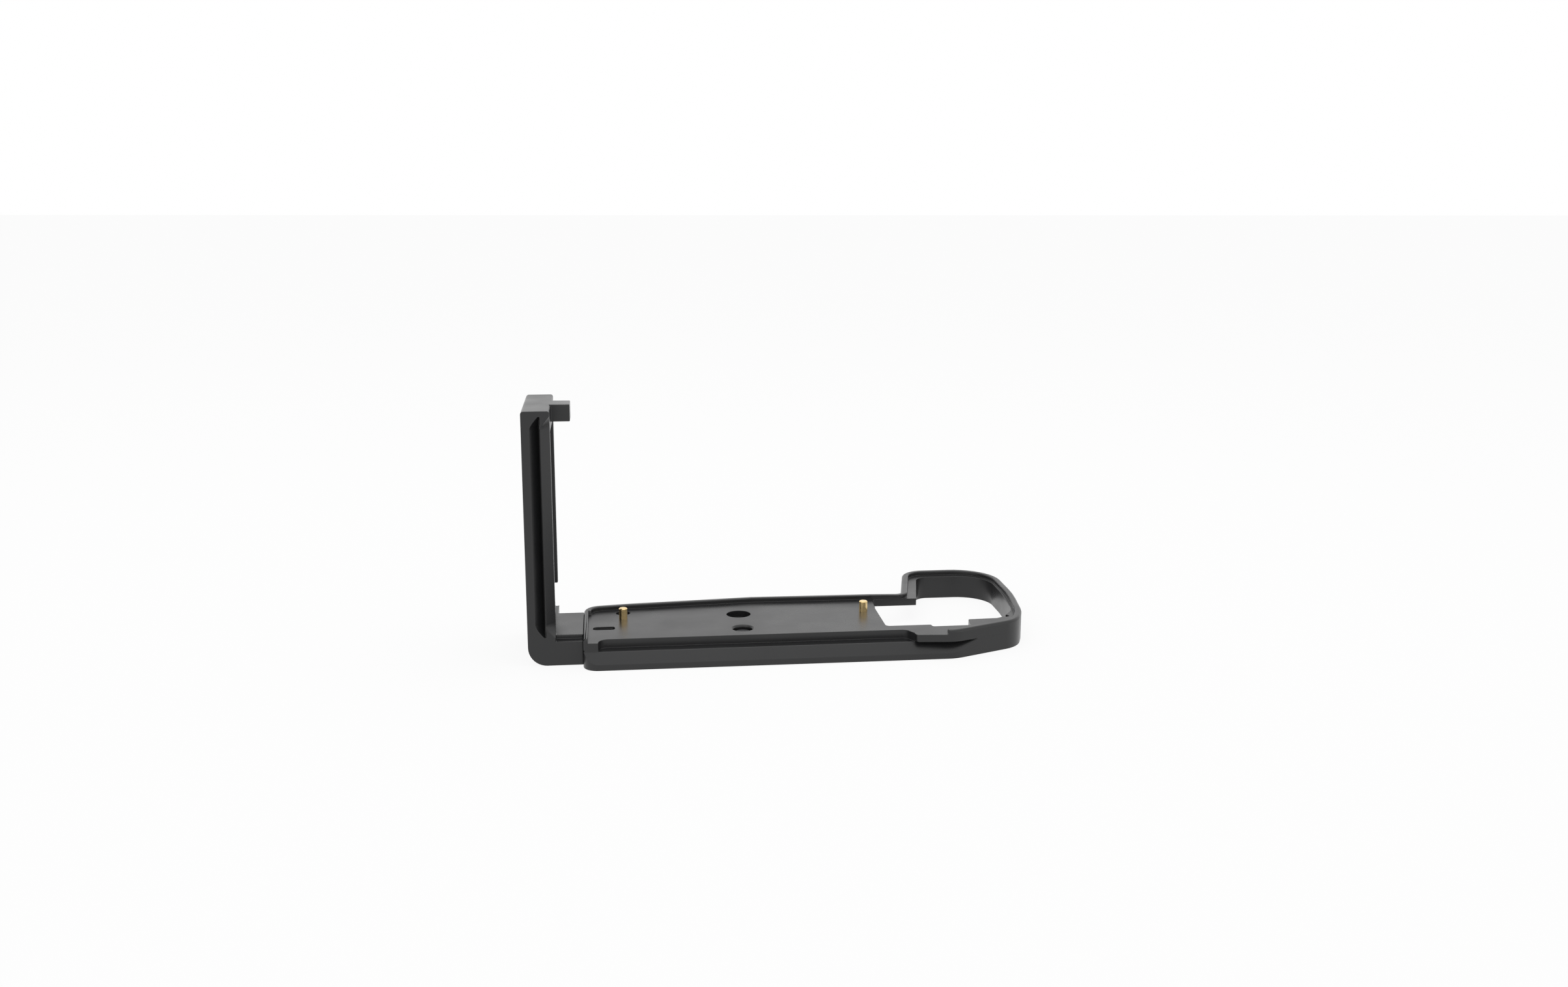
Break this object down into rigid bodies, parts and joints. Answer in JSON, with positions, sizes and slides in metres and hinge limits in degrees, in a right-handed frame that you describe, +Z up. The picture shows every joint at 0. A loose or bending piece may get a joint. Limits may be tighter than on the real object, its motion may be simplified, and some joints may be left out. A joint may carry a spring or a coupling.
{
  "type": "camera l-bracket",
  "caption": "L-shaped camera bracket: base plate with dovetail, raised lip and battery loop, and a side plate that slides out on rods.",
  "frame": {"origin": "bottom plane of the base, on the dovetail's centre line, at the seam with the side plate", "axes": "+X along the base away from the side plate, +Y from the dovetail's front edge towards the loop's far end, +Z up"},
  "size_m": [0.172, 0.0776, 0.0841],
  "materials": {
    "black_alloy": "satin black anodised, finely bead-blasted",
    "brass": "turned, bright",
    "steel": "ground",
    "black_steel": "black oxide"
  },
  "bodies": {
    "base": {"base_plate": "black_alloy", "index_pin_left": "brass", "index_pin_right": "brass"},
    "side": {"side_plate": "black_alloy", "guide_rod_front": "steel", "guide_rod_rear": "steel"},
    "camera_screw": {"camera_screw": "black_steel"},
    "lock_front": {"lock_screw_front": "black_steel"},
    "lock_rear": {"lock_screw_rear": "black_steel"}
  },
  "joints": [
    {"name": "side_slide", "type": "slide", "parent": "base", "child": "side", "axis": [-1, 0, 0], "range_m": [0, 0.015]},
    {"name": "camera_screw_travel", "type": "slide", "parent": "base", "child": "camera_screw", "axis": [0, 0, 1], "range_m": [0, 0.0045]},
    {"name": "lock_front_turn", "type": "hinge", "parent": "base", "child": "lock_front", "pos_m": [0.009, -0.007, 0], "axis": [0, 0, -1], "range_deg": [0, 360]},
    {"name": "lock_rear_turn", "type": "hinge", "parent": "base", "child": "lock_rear", "pos_m": [0.009, 0.0065, 0], "axis": [0, 0, -1], "range_deg": [0, 360]}
  ]
}
